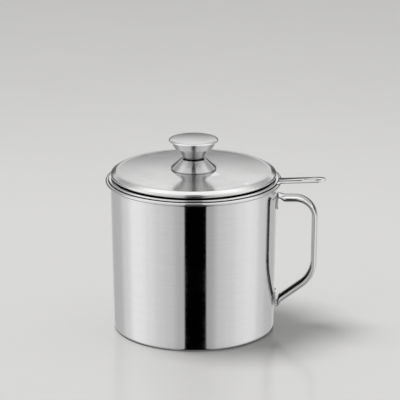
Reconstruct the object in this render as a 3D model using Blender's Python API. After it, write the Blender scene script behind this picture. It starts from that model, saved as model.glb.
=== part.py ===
"""Bacon grease container: a steel pot with a strap handle, a lift-out strainer and a lid with a knob.

Metres, +Z up. The origin is the middle of the pot's underside, and the handle points along +X.
Every steel shell is a profile of (radius, height) points turned about the pot's axis.
"""
import math

import bmesh
import bpy
from mathutils import Matrix, Vector

# Divisions of a full turn
BIG_SEGMENTS = 48
SMALL_SEGMENTS = 30

# Clearance between pieces that touch, and how far a cutter runs past what it cuts
CLEARANCE = 0.0003
OVERRUN = 0.002

# Pot
POT_HEIGHT = 0.1204
POT_RIM_RADIUS = 0.0650
POT_FOOT_RADIUS = 0.0630
POT_WALL = 0.0006
POT_CORNER = 0.0022
ROLL_RADIUS = 0.0014
ROLL_REACH = 0.0023
ROLL_END_ANGLE = math.radians(-135)

# Strap handle: a stamped channel whose ends flatten into pads welded to the pot
HANDLE_WIDTH = 0.0140
HANDLE_DEPTH = 0.0046
HANDLE_SHEET = 0.0012
HANDLE_STANDOFF = 0.0324
HANDLE_DROP = 0.0134
HANDLE_LEAN = math.radians(0.6)
HANDLE_KNEE = 0.0396
HANDLE_SLANT = math.radians(39)
HANDLE_TOP_BEND = 0.0168
HANDLE_KNEE_BEND = 0.0180
HANDLE_FOLD = 0.0017
HANDLE_FOLD_STEPS = 5
HANDLE_FLARE = 0.0050
HANDLE_PAD_SQUARENESS = 0.6
UPPER_PAD_LENGTH = 0.0090
LOWER_PAD_LENGTH = 0.0100

# Strainer: a drawn ring that hangs in the pot by its flange, whose edge is hemmed under
FLANGE_OVERHANG = 0.0016
FLANGE_GAP = 0.00015
FLANGE_HEM_HEIGHT = 0.0015
FLANGE_HEM_WIDTH = 0.0019
STRAINER_WALL = 0.0006
STRAINER_SIDE_GAP = 0.0034
STRAINER_TAPER = 0.0008
STRAINER_DEPTH = 0.0172
STRAINER_LIP_BEND = 0.0016
STRAINER_CORNER = 0.0016
STRAINER_LEDGE = 0.0034

# Strainer cloth and the ring that holds it down
CLOTH_THICKNESS = 0.0005
CLOTH_EDGE_GAP = 0.0006
CLOTH_PITCH = 0.0105
CLOTH_BAR = 0.0030
RING_HEIGHT = 0.0008
RING_WIDTH = 0.0030

# Lifting tab on the strainer's flange
TAB_LENGTH = 0.0365
TAB_WIDTH = 0.0140
TAB_THICKNESS = 0.0008
TAB_AZIMUTH = math.radians(-8)
TAB_RISE = math.radians(4)
TAB_SLOT_LENGTH = 0.0126
TAB_SLOT_WIDTH = 0.0060
TAB_SLOT_INSET = 0.0068

# Lid
LID_WALL = 0.0006
LID_SETBACK = 0.0021
LID_SHOULDER_RISE = 0.0038
LID_EDGE_BEND = 0.0017
LID_EDGE_TUCK = 0.0019
LID_RIDGE_INSET = 0.0040
LID_RIDGE_RISE = 0.00525
LID_RIDGE_DROP = 0.0004
LID_PANEL_INSET = 0.0065
LID_CROWN = 0.00085
LID_BOSS_RADIUS = 0.0215
LID_SEAT_RISE = 0.0059
LID_SEAT_RADIUS = 0.0187

# Knob: a cone foot, a trumpet stem and a domed cap
KNOB_WALL = 0.0008
KNOB_FOOT_RADIUS = 0.0176
KNOB_FOOT_LIP = 0.0009
KNOB_FOOT_HEIGHT = 0.0080
KNOB_FOOT_TOP_RADIUS = 0.00975
KNOB_NECK_RADIUS = 0.00765
KNOB_RADIUS = 0.0192
KNOB_STEM_HEIGHT = 0.0136
CAP_EDGE = 0.0007
CAP_DOME = 0.0013

# Threaded boss inside the knob, and the screw that comes up through the lid
SCREW_RADIUS = 0.0022
SCREW_HOLE_RADIUS = 0.0027
SCREW_HEAD_RADIUS = 0.0045
SCREW_HEAD_HEIGHT = 0.0028
SCREW_SLOT_WIDTH = 0.0010
SCREW_SLOT_DEPTH = 0.0012
SCREW_END_SETBACK = 0.0012
BOSS_HEIGHT = 0.0090
BOSS_NECK_GAP = 0.0004
FLAT_WASHER_RADIUS = 0.0060
FLAT_WASHER_HEIGHT = 0.0008
LOCK_WASHER_RADIUS = 0.0043
LOCK_WASHER_HEIGHT = 0.0011
LOCK_WASHER_SPLIT = 0.0008

# Radii that follow the pot's rim
FLANGE_RADIUS = POT_RIM_RADIUS + FLANGE_OVERHANG
STRAINER_BOWL_RADIUS = POT_RIM_RADIUS - POT_WALL - STRAINER_SIDE_GAP
STRAINER_FOOT_RADIUS = STRAINER_BOWL_RADIUS - STRAINER_TAPER
CLOTH_RADIUS = STRAINER_FOOT_RADIUS - STRAINER_CORNER - CLOTH_EDGE_GAP
LID_RADIUS = FLANGE_RADIUS - LID_SETBACK
LID_RIDGE_RADIUS = LID_RADIUS - LID_RIDGE_INSET
LID_PANEL_RADIUS = LID_RADIUS - LID_PANEL_INSET
HANDLE_REACH = POT_RIM_RADIUS + HANDLE_STANDOFF

# Heights that the pieces stack up to
HANDLE_TOP = POT_HEIGHT - HANDLE_DROP
FLANGE_BASE = POT_HEIGHT + FLANGE_GAP
FLANGE_TOP = FLANGE_BASE + FLANGE_HEM_HEIGHT
LEDGE_TOP = FLANGE_TOP - STRAINER_DEPTH
CLOTH_TOP = LEDGE_TOP + CLEARANCE + CLOTH_THICKNESS
LID_EDGE_FOOT = FLANGE_TOP + CLEARANCE
LID_RIDGE_TOP = LID_EDGE_FOOT + LID_RIDGE_RISE
LID_SEAT_TOP = LID_EDGE_FOOT + LID_SEAT_RISE
KNOB_FOOT_BASE = LID_SEAT_TOP + CLEARANCE
KNOB_STEM_BASE = KNOB_FOOT_BASE + KNOB_FOOT_HEIGHT + CLEARANCE
KNOB_STEM_TOP = KNOB_STEM_BASE + KNOB_STEM_HEIGHT
BOSS_BASE = KNOB_STEM_BASE + KNOB_WALL + CLEARANCE
FLAT_WASHER_TOP = LID_SEAT_TOP - LID_WALL - CLEARANCE
LOCK_WASHER_TOP = FLAT_WASHER_TOP - FLAT_WASHER_HEIGHT - CLEARANCE
SCREW_HEAD_TOP = LOCK_WASHER_TOP - LOCK_WASHER_HEIGHT - CLEARANCE


def clear_scene():
    """Remove whatever the open file holds."""
    for old in list(bpy.data.objects):
        bpy.data.objects.remove(old, do_unlink=True)


def steel(name, tone, roughness):
    """A plain steel with its own tone and polish."""
    material = bpy.data.materials.new(name)
    material.use_nodes = True
    shader = material.node_tree.nodes["Principled BSDF"]
    shader.inputs["Base Color"].default_value = (tone, tone, tone, 1)
    shader.inputs["Metallic"].default_value = 1
    shader.inputs["Roughness"].default_value = roughness
    return material


def arc(centre, radii, start, end, steps):
    """Points along an ellipse's arc, from angle start to angle end."""
    points = []
    for step in range(steps + 1):
        angle = start + (end - start) * step / steps
        points.append((centre[0] + radii[0] * math.cos(angle), centre[1] + radii[1] * math.sin(angle)))
    return points


def right_normal(a, b):
    """Unit normal on the right-hand side of the way from a to b."""
    way = (Vector(b) - Vector(a)).normalized()
    return Vector((way.y, -way.x))


def offset(path, distance):
    """The path moved to its right-hand side by the same distance all along."""
    moved = []
    for index, point in enumerate(path):
        before = right_normal(path[max(index - 1, 0)], path[max(index, 1)])
        after = right_normal(path[min(index, len(path) - 2)], path[min(index + 1, len(path) - 1)])
        middle = (before + after).normalized()
        moved.append(tuple(Vector(point) + middle * distance / middle.dot(before)))
    return moved


def sheet(path, wall):
    """Outline of sheet metal that has this face and lies on the path's right-hand side."""
    return path + offset(path, wall)[::-1]


def smooth_step(share):
    """Ease from 0 to 1."""
    share = min(max(share, 0), 1)
    return share * share * (3 - 2 * share)


def finish(name, mesh_data, material, crease=math.radians(35)):
    """Put a closed mesh in the scene, round where it is round and sharp at its edges."""
    bmesh.ops.recalc_face_normals(mesh_data, faces=mesh_data.faces)
    mesh = bpy.data.meshes.new(name)
    mesh_data.to_mesh(mesh)
    mesh_data.free()
    mesh.shade_smooth()
    mesh.set_sharp_from_angle(angle=crease)
    mesh.materials.append(material)
    piece = bpy.data.objects.new(name, mesh)
    bpy.context.collection.objects.link(piece)
    return piece


def turned(outline, segments):
    """Mesh of an outline of (radius, height) points turned once about the pot's axis."""
    mesh_data = bmesh.new()
    verts = [mesh_data.verts.new((radius, 0, height)) for radius, height in outline]
    edges = [mesh_data.edges.new(pair) for pair in zip(verts, verts[1:])]
    if outline[0][0] > 0:
        edges.append(mesh_data.edges.new((verts[-1], verts[0])))
    bmesh.ops.spin(mesh_data, geom=verts + edges, cent=(0, 0, 0), axis=(0, 0, 1),
                   angle=math.tau, steps=segments, use_merge=True)
    bmesh.ops.remove_doubles(mesh_data, verts=mesh_data.verts, dist=POT_WALL / 1000)
    return mesh_data


def square_ring(inner, outer, bottom, top):
    """Outline of a ring with a rectangular section."""
    return [(inner, bottom), (outer, bottom), (outer, top), (inner, top)]


def prism(outline, bottom, top):
    """Mesh of a flat outline of (x, y) points between two heights."""
    mesh_data = bmesh.new()
    face = mesh_data.faces.new([mesh_data.verts.new((x, y, bottom)) for x, y in outline])
    raised = bmesh.ops.extrude_face_region(mesh_data, geom=[face])["geom"]
    lifted = [item for item in raised if isinstance(item, bmesh.types.BMVert)]
    bmesh.ops.translate(mesh_data, verts=lifted, vec=(0, 0, top - bottom))
    return mesh_data


def stadium(length, width, steps):
    """Outline of a slot with round ends, centred on the origin and long in x."""
    radius = width / 2
    run = length / 2 - radius
    right = arc((run, 0), (radius, radius), -math.pi / 2, math.pi / 2, steps)
    left = arc((-run, 0), (radius, radius), math.pi / 2, math.pi * 3 / 2, steps)
    return right + left


def cut(piece, cutter):
    """Cut one piece with another, which is left as a hidden guide."""
    cutter.hide_render = True
    cutter.display_type = "WIRE"
    boolean = piece.modifiers.new(cutter.name, "BOOLEAN")
    boolean.operation = "DIFFERENCE"
    boolean.object = cutter


def wall_radius(height):
    """Outside radius of the pot's tapered wall."""
    return POT_FOOT_RADIUS + (POT_RIM_RADIUS - POT_FOOT_RADIUS) * height / POT_HEIGHT


def make_pot_shell(material):
    """Drawn pot: flat floor, tapered wall and a rim that flares out and rolls under."""
    corner = POT_CORNER - POT_WALL
    roll_x = POT_RIM_RADIUS + ROLL_REACH
    flare_base = POT_HEIGHT - 2 * ROLL_RADIUS
    flare_reach = roll_x - wall_radius(flare_base) + POT_WALL
    path = [(0, POT_WALL)]
    path += arc((wall_radius(POT_CORNER) - POT_CORNER, POT_CORNER), (corner, corner), -math.pi / 2, 0, 4)
    path += arc((roll_x, flare_base), (flare_reach, 2 * ROLL_RADIUS), math.pi, math.pi / 2, 4)
    path += arc((roll_x, POT_HEIGHT - ROLL_RADIUS), (ROLL_RADIUS, ROLL_RADIUS),
                math.pi / 2, ROLL_END_ANGLE, 8)[1:]
    finish("pot_shell", turned(sheet(path, POT_WALL), BIG_SEGMENTS), material)


def rounded_path(corners, bends, steps):
    """Places (point, outward direction) along straight runs whose corners turn right in bends."""
    places = []
    for index, (bend, count) in enumerate(zip(bends, steps), start=1):
        corner = Vector(corners[index])
        way_in = (corner - Vector(corners[index - 1])).normalized()
        way_out = (Vector(corners[index + 1]) - corner).normalized()
        turn = way_in.angle(way_out)
        inward = Vector((way_in.y, -way_in.x))
        centre = corner - way_in * bend * math.tan(turn / 2) + inward * bend
        start = math.atan2(-inward.y, -inward.x)
        for step in range(count + 1):
            angle = start - turn * step / count
            out = Vector((math.cos(angle), math.sin(angle)))
            places.append((centre + out * bend, out))
    return [(Vector(corners[0]), places[0][1])] + places + [(Vector(corners[-1]), places[-1][1])]


def handle_corners():
    """Corners (x, z) of the handle's outer face, from its upper pad round to its lower pad."""
    knee_x = HANDLE_REACH - (HANDLE_TOP - HANDLE_KNEE) * math.tan(HANDLE_LEAN)
    foot_height = HANDLE_KNEE - (knee_x - POT_FOOT_RADIUS) * math.tan(HANDLE_SLANT)
    upper_end = HANDLE_TOP - HANDLE_FOLD - UPPER_PAD_LENGTH
    fold_rise = HANDLE_FOLD * math.tan((math.pi / 2 + HANDLE_SLANT) / 2)
    lower_end = foot_height + fold_rise + LOWER_PAD_LENGTH
    return [(wall_radius(upper_end) + CLEARANCE, upper_end),
            (wall_radius(HANDLE_TOP) + CLEARANCE, HANDLE_TOP),
            (HANDLE_REACH, HANDLE_TOP),
            (knee_x, HANDLE_KNEE),
            (wall_radius(foot_height) + CLEARANCE, foot_height),
            (wall_radius(lower_end) + CLEARANCE, lower_end)]


def channel_section(depth, wrap):
    """Section of the strap: (across, outward) points of a round channel, flat where depth is small."""
    half = HANDLE_WIDTH / 2
    squareness = 1 - HANDLE_PAD_SQUARENESS * (HANDLE_DEPTH - depth) / (HANDLE_DEPTH - HANDLE_SHEET)

    def crown(across, rise, steps):
        for turn_x, turn_y in arc((0, 0), (1, 1), 0, math.pi, steps):
            side = math.copysign(abs(turn_x) ** squareness, turn_x)
            yield across * side, rise * max(turn_y, 0) ** squareness - depth

    points = list(crown(half, depth, 10))
    points += list(crown(half - HANDLE_SHEET, depth - HANDLE_SHEET, 8))[::-1]
    return [(across, out + wrap * across * across / (2 * POT_RIM_RADIUS)) for across, out in points]


def along(start, end):
    """Places spaced evenly on the straight run between two places."""
    return [(start[0].lerp(end[0], share), start[1]) for share in (0.2, 0.4, 0.6, 0.8)]


def handle_places():
    """Point, outward direction, channel depth and wrap round the pot of each section."""
    bends = [HANDLE_FOLD, HANDLE_TOP_BEND, HANDLE_KNEE_BEND, HANDLE_FOLD]
    places = rounded_path(handle_corners(), bends, [HANDLE_FOLD_STEPS, 8, 6, HANDLE_FOLD_STEPS])
    upper = HANDLE_FOLD_STEPS + 1
    lower = len(places) - HANDLE_FOLD_STEPS - 2
    arm = along(places[upper], places[upper + 1])
    slant = along(places[lower - 1], places[lower])
    flat_ends = (places[upper][0], places[lower][0])
    places = places[:upper + 1] + arm + places[upper + 1:lower] + slant + places[lower:]
    result = []
    for index, (point, out) in enumerate(places):
        from_end = min(index, len(places) - 1 - index)
        run = min((point - flat).length for flat in flat_ends) if from_end > upper else 0
        depth = HANDLE_SHEET + (HANDLE_DEPTH - HANDLE_SHEET) * smooth_step(run / HANDLE_FLARE)
        wrap = 1 - smooth_step((from_end - 1) / HANDLE_FOLD_STEPS)
        result.append((point, out, depth, wrap))
    return result


def make_handle(material):
    """Stamped strap: one strip, a crowned channel along its middle and flat pads at its ends."""
    mesh_data = bmesh.new()
    rings = []
    for point, out, depth, wrap in handle_places():
        ring = []
        for across, outward in channel_section(depth, wrap):
            spot = point + out * outward
            ring.append(mesh_data.verts.new((spot.x, across, spot.y)))
        rings.append(ring)
    for near, far in zip(rings, rings[1:]):
        for index in range(len(near)):
            following = (index + 1) % len(near)
            mesh_data.faces.new((near[index], near[following], far[following], far[index]))
    mesh_data.faces.new(rings[0])
    mesh_data.faces.new(rings[-1])
    finish("handle_strip", mesh_data, material)


def make_strainer_rim(material):
    """Drawn ring: a hemmed flange on the pot's rim, a straight wall and a ledge for the cloth."""
    bend = STRAINER_LIP_BEND
    foot = STRAINER_FOOT_RADIUS - STRAINER_CORNER
    hem = FLANGE_HEM_HEIGHT / 2
    path = [(FLANGE_RADIUS - FLANGE_HEM_WIDTH, FLANGE_BASE)]
    path += arc((FLANGE_RADIUS - hem, FLANGE_BASE + hem), (hem, hem), -math.pi / 2, math.pi / 2, 6)
    path += arc((STRAINER_BOWL_RADIUS + bend, FLANGE_TOP - bend), (bend, bend), math.pi / 2, math.pi, 4)
    path += arc((foot, LEDGE_TOP + STRAINER_CORNER), (STRAINER_CORNER, STRAINER_CORNER),
                0, -math.pi / 2, 3)
    path.append((foot - STRAINER_LEDGE, LEDGE_TOP))
    outline = path + offset(path, -STRAINER_WALL)[::-1]
    finish("strainer_rim", turned(outline, BIG_SEGMENTS), material)


def make_strainer_mesh(material):
    """Strainer cloth as a flat disc with a coarse grid of square openings."""
    base = CLOTH_TOP - CLOTH_THICKNESS
    outline = [(0, base), (CLOTH_RADIUS, base), (CLOTH_RADIUS, CLOTH_TOP), (0, CLOTH_TOP)]
    cloth = finish("strainer_mesh", turned(outline, BIG_SEGMENTS), material)
    open_radius = CLOTH_RADIUS - RING_WIDTH - CLOTH_BAR
    holes = bmesh.new()
    side = CLOTH_PITCH - CLOTH_BAR
    rows = int(CLOTH_RADIUS / CLOTH_PITCH)
    for row in range(-rows, rows + 1):
        for column in range(-rows, rows + 1):
            x, y = column * CLOTH_PITCH, row * CLOTH_PITCH
            if math.hypot(abs(x) + side / 2, abs(y) + side / 2) > open_radius:
                continue
            place = Matrix.Translation((x, y, CLOTH_TOP)) @ Matrix.Diagonal((side, side, OVERRUN, 1))
            bmesh.ops.create_cube(holes, size=1, matrix=place)
    cut(cloth, finish("cloth_holes", holes, material))


def make_clamp_ring(material):
    """Flat ring that holds the cloth's edge down on the ledge."""
    base = CLOTH_TOP + CLEARANCE
    ring = square_ring(CLOTH_RADIUS - RING_WIDTH, CLOTH_RADIUS, base, base + RING_HEIGHT)
    finish("mesh_clamp_ring", turned(ring, BIG_SEGMENTS), material)


def make_strainer_tab(material):
    """Lifting tab, welded edge to edge to the flange, with a slot for a finger or a hook."""
    root = FLANGE_RADIUS + CLEARANCE
    half = TAB_WIDTH / 2
    spread = math.asin(half / root)
    outline = arc((-root, 0), (root, root), -spread, spread, 4)[::-1]
    tip = TAB_LENGTH - half
    outline += arc((tip, 0), (half, half), -math.pi / 2, math.pi / 2, 10)
    plate = prism(outline, 0, TAB_THICKNESS)
    slot_x = TAB_LENGTH - TAB_SLOT_INSET - TAB_SLOT_LENGTH / 2
    slot = prism(stadium(TAB_SLOT_LENGTH, TAB_SLOT_WIDTH, 6), -OVERRUN, TAB_THICKNESS + OVERRUN)
    bmesh.ops.translate(slot, verts=slot.verts, vec=(slot_x, 0, 0))
    place = Matrix.Rotation(TAB_AZIMUTH, 4, "Z")
    place @= Matrix.Translation((root, 0, FLANGE_BASE))
    place @= Matrix.Rotation(-TAB_RISE, 4, "Y")
    tab = finish("strainer_tab", plate, material)
    cutter = finish("tab_slot", slot, material)
    tab.matrix_world = place
    cutter.matrix_world = place
    cut(tab, cutter)


def lid_path():
    """Upper face of the lid, from its rolled-in edge to the screw hole in the middle."""
    bend = LID_EDGE_BEND
    shoulder = LID_EDGE_FOOT + LID_SHOULDER_RISE
    edge_x = LID_RADIUS - bend
    panel = LID_RIDGE_TOP - LID_RIDGE_DROP
    path = [(LID_RADIUS - LID_EDGE_TUCK, LID_EDGE_FOOT)]
    path += arc((edge_x, shoulder - bend), (bend, bend), math.radians(-40), math.radians(60), 5)
    ridge_shares = ((0.28, 0.3), (0, 0), (-0.4, 0.25), (-0.75, 0.8))
    for out_share, drop_share in ridge_shares:
        path.append((LID_RIDGE_RADIUS + (LID_RIDGE_RADIUS - LID_PANEL_RADIUS) * out_share,
                     LID_RIDGE_TOP - LID_RIDGE_DROP * drop_share))
    for in_share in (0, 0.2, 0.4, 0.6, 0.8, 1):
        radius = LID_PANEL_RADIUS + (LID_BOSS_RADIUS - LID_PANEL_RADIUS) * in_share
        path.append((radius, panel + LID_CROWN * (1 - (radius / LID_PANEL_RADIUS) ** 2)))
    path.append((LID_SEAT_RADIUS, LID_SEAT_TOP))
    path.append((SCREW_HOLE_RADIUS, LID_SEAT_TOP))
    return path


def make_lid_shell(material):
    """Pressed lid: a slightly crowned panel, a low seat for the knob, a creased shoulder, a tucked edge."""
    path = lid_path()
    finish("lid_shell", turned(path + offset(path, -LID_WALL)[::-1], BIG_SEGMENTS), material)


def make_knob_base(material):
    """Cone that carries the knob on the lid."""
    top = KNOB_FOOT_BASE + KNOB_FOOT_HEIGHT
    path = [(KNOB_FOOT_RADIUS, KNOB_FOOT_BASE),
            (KNOB_FOOT_RADIUS, KNOB_FOOT_BASE + KNOB_FOOT_LIP),
            (KNOB_FOOT_TOP_RADIUS, top),
            (SCREW_HOLE_RADIUS, top)]
    finish("knob_base", turned(path + offset(path, -KNOB_WALL)[::-1], SMALL_SEGMENTS), material)


def stem_path():
    """Outer face of the trumpet stem, from its screw hole out and up to its mouth."""
    lift_shares = (0, 0.05, 0.26, 0.44, 0.66, 1)
    flare_shares = (0, 0.06, 0.24, 0.46, 0.76, 1)
    mouth = KNOB_RADIUS - KNOB_WALL
    path = [(SCREW_HOLE_RADIUS, KNOB_STEM_BASE)]
    for lift_share, flare_share in zip(lift_shares, flare_shares):
        path.append((KNOB_NECK_RADIUS + (mouth - KNOB_NECK_RADIUS) * flare_share,
                     KNOB_STEM_BASE + KNOB_STEM_HEIGHT * lift_share))
    return path


def make_knob_stem(material):
    """Trumpet shell between the cone and the cap, open at its mouth."""
    path = stem_path()
    inside = offset(path, -KNOB_WALL)
    inside[-1] = (inside[-1][0], KNOB_STEM_TOP)
    finish("knob_stem", turned(path + inside[::-1], SMALL_SEGMENTS), material)


def make_knob_cap(material):
    """Shallow domed cap with a rounded edge, pressed from sheet."""
    base = KNOB_STEM_TOP + CLEARANCE
    top = base + CAP_EDGE + CAP_DOME
    inner_radius = KNOB_RADIUS - CAP_EDGE - KNOB_WALL
    outline = [(0, top - KNOB_WALL)]
    for share in (0.5, 0.9):
        outline.append((inner_radius * share, top - KNOB_WALL - CAP_DOME * share * share))
    outline += [(inner_radius, base), (KNOB_RADIUS - CAP_EDGE, base), (KNOB_RADIUS, base + CAP_EDGE)]
    for share in (0.92, 0.75, 0.5, 0.25, 0):
        outline.append((KNOB_RADIUS * share, top - CAP_DOME * share * share))
    finish("knob_cap", turned(outline, SMALL_SEGMENTS), material)


def make_knob_insert(material):
    """Threaded boss in the knob's neck, which the screw draws down."""
    outer = KNOB_NECK_RADIUS - KNOB_WALL - BOSS_NECK_GAP
    boss = square_ring(SCREW_HOLE_RADIUS, outer, BOSS_BASE, BOSS_BASE + BOSS_HEIGHT)
    finish("knob_insert", turned(boss, SMALL_SEGMENTS), material)


def make_knob_screw(material):
    """Slotted pan-head screw, its head under the lid."""
    end = BOSS_BASE + BOSS_HEIGHT - SCREW_END_SETBACK
    foot = SCREW_HEAD_TOP - SCREW_HEAD_HEIGHT
    edge = SCREW_HEAD_HEIGHT / 2
    outline = [(0, end), (SCREW_RADIUS, end), (SCREW_RADIUS, SCREW_HEAD_TOP),
               (SCREW_HEAD_RADIUS, SCREW_HEAD_TOP)]
    outline += arc((SCREW_HEAD_RADIUS - edge, foot + edge), (edge, edge), 0, -math.pi / 2, 4)
    outline.append((0, foot))
    screw = finish("knob_screw", turned(outline, SMALL_SEGMENTS), material)
    slot = bmesh.new()
    size = (2 * SCREW_HEAD_RADIUS + OVERRUN, SCREW_SLOT_WIDTH, 2 * SCREW_SLOT_DEPTH, 1)
    bmesh.ops.create_cube(slot, size=1, matrix=Matrix.Translation((0, 0, foot)) @ Matrix.Diagonal(size))
    cut(screw, finish("screw_slot", slot, material))


def make_flat_washer(material):
    """Washer that spreads the screw's pull under the lid."""
    base = FLAT_WASHER_TOP - FLAT_WASHER_HEIGHT
    ring = square_ring(SCREW_HOLE_RADIUS, FLAT_WASHER_RADIUS, base, FLAT_WASHER_TOP)
    finish("flat_washer", turned(ring, SMALL_SEGMENTS), material)


def make_lock_washer(material):
    """Split washer between the flat washer and the screw's head."""
    base = LOCK_WASHER_TOP - LOCK_WASHER_HEIGHT
    ring = square_ring(SCREW_HOLE_RADIUS, LOCK_WASHER_RADIUS, base, LOCK_WASHER_TOP)
    washer = finish("lock_washer", turned(ring, SMALL_SEGMENTS), material)
    split = bmesh.new()
    size = (LOCK_WASHER_RADIUS + OVERRUN, LOCK_WASHER_SPLIT, LOCK_WASHER_HEIGHT + OVERRUN, 1)
    place = Matrix.Translation(((LOCK_WASHER_RADIUS + OVERRUN) / 2, 0, base + LOCK_WASHER_HEIGHT / 2))
    bmesh.ops.create_cube(split, size=1, matrix=place @ Matrix.Diagonal(size))
    cut(washer, finish("washer_split", split, material))


def main():
    """Build every piece where it sits in the closed container."""
    clear_scene()
    satin = steel("satin_steel", 0.72, 0.24)
    polished = steel("polished_steel", 0.78, 0.12)
    zinc = steel("plain_steel", 0.55, 0.35)
    make_pot_shell(satin)
    make_handle(polished)
    make_strainer_rim(polished)
    make_strainer_mesh(zinc)
    make_clamp_ring(polished)
    make_strainer_tab(polished)
    make_lid_shell(polished)
    make_knob_base(polished)
    make_knob_stem(polished)
    make_knob_cap(polished)
    make_knob_insert(zinc)
    make_knob_screw(zinc)
    make_lock_washer(zinc)
    make_flat_washer(zinc)


main()
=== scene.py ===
"""Looks of a bacon grease container: steel pot, lift-out strainer, lid and knob, on a pale floor.

Metres, +Z up. Every piece is made where the frame holds it, in fine mesh, with its own steel.
"""
import math

import bmesh
import bpy
from bpy.props import FloatProperty, FloatVectorProperty, IntProperty, PointerProperty
from mathutils import Matrix, Vector


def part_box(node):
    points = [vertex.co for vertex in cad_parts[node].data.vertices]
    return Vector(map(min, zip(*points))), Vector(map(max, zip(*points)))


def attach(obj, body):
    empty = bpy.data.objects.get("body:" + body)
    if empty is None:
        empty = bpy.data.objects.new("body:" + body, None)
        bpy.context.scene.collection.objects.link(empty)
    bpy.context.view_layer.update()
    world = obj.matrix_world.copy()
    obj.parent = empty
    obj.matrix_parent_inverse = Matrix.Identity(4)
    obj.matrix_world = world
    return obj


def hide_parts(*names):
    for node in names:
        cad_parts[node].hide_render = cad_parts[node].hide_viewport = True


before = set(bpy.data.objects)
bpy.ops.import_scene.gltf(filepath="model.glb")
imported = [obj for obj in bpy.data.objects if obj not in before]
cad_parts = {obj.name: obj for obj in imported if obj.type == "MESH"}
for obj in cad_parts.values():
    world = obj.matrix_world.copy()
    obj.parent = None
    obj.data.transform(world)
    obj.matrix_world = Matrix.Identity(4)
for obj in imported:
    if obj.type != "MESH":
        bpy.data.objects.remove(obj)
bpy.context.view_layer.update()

bl_info = {
    "name": "Bacon Grease Container",
    "version": (1, 0, 0),
    "blender": (4, 5, 0),
    "location": "3D View > Sidebar > Container",
    "description": "Steel grease pot with a strap handle, a lift-out strainer and a knobbed lid",
    "category": "Object",
}

MM = 0.001
WELD = 1e-7
SMOOTH_ANGLE = math.radians(38)
# Gap between pieces that are welded or screwed together
CLEARANCE = 0.3 * MM

# Where the frame holds the pieces
POT_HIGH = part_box("pot_shell")[1]
STRAP_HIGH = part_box("handle_strip")[1]
RIM_LOW, RIM_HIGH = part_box("strainer_rim")
CLOTH_LOW, CLOTH_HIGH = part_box("strainer_mesh")
CLAMP_LOW, CLAMP_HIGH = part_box("mesh_clamp_ring")
LID_LOW, LID_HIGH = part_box("lid_shell")
CONE_LOW, CONE_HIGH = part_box("knob_base")
STEM_LOW, STEM_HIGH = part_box("knob_stem")
CAP_LOW, CAP_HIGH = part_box("knob_cap")
BOSS_LOW, BOSS_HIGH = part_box("knob_insert")
SCREW_LOW, SCREW_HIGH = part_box("knob_screw")
SPLIT_LOW, SPLIT_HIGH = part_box("lock_washer")
PLAIN_LOW, PLAIN_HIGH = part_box("flat_washer")


# Settings

def length_setting(name, description, default, precision=4):
    """Property that holds a length."""
    return FloatProperty(name=name, description=description, default=default, unit="LENGTH",
                         precision=precision)


def colour_setting(name, description, default):
    """Property that holds a colour."""
    return FloatVectorProperty(name=name, description=description, default=default, subtype="COLOR",
                               min=0, max=1)


def share_setting(name, description, default):
    """Property that holds a share from 0 to 1."""
    return FloatProperty(name=name, description=description, default=default, min=0, max=1)


class ContainerSizes(bpy.types.PropertyGroup):
    """Sizes that shape the pressed and turned pieces."""
    turn_steps: IntProperty(name="Turn steps", description="Divisions of a full turn", default=288, min=48)
    sheet: length_setting("Sheet", "Thickness of the pot, strainer and lid", 0.6 * MM)
    rim_radius: length_setting("Rim radius", "Outside radius of the pot's wall at its top", 65 * MM)
    foot_radius: length_setting("Foot radius", "Outside radius of the pot's wall at its foot", 63 * MM)
    roll_radius: length_setting("Rim roll", "Radius of the bead rolled round the pot's mouth", 1.4 * MM)
    roll_reach: length_setting("Roll reach", "How far the bead's middle stands out from the wall", 2.3 * MM)
    strap_width: length_setting("Strap width", "Width of the handle's strap", 14 * MM)
    strap_depth: length_setting("Strap depth", "Depth of the strap's crowned channel", 4.6 * MM)
    strap_sheet: length_setting("Strap sheet", "Thickness of the strap's sheet", 1.2 * MM)
    wire_pitch: length_setting("Wire pitch", "Distance between the wires of the cloth", 1.5 * MM)
    wire_radius: length_setting("Wire radius", "Radius of the cloth's wires", 0.13 * MM, precision=5)
    lid_crown: length_setting("Lid crown", "How far the lid's panel rises to its middle", 0.85 * MM)
    thread_pitch: length_setting("Thread pitch", "Pitch of the knob screw's thread", 0.7 * MM)


class ContainerFinish(bpy.types.PropertyGroup):
    """Tones and polish of the steels."""
    satin_tone: colour_setting("Satin tone", "Steel of the pot", (0.74, 0.74, 0.745))
    satin_roughness: share_setting("Satin roughness", "Roughness of the pot's wall", 0.08)
    polished_tone: colour_setting("Polished tone", "Steel of lid, rim, cap and strap", (0.79, 0.79, 0.785))
    polished_roughness: share_setting("Polished roughness", "Roughness of the polished pieces", 0.08)
    lid_roughness: share_setting("Lid roughness", "Roughness of the lid's panel", 0.16)
    knob_tone: colour_setting("Knob tone", "Steel of the knob's cone and stem", (0.64, 0.64, 0.64))
    plain_tone: colour_setting("Plain tone", "Steel of the wires, screw and washers", (0.56, 0.56, 0.55))
    # Painted shade: near-black tone of the strap's hollow side, where shade falls inside the channel
    inside_shade_tone: colour_setting("Inside shade tone", "Hollow side of the strap", (0.12, 0.12, 0.12))
    line_density: FloatProperty(
        name="Line density", description="Polishing lines in each metre across them", default=900, min=1)


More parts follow.
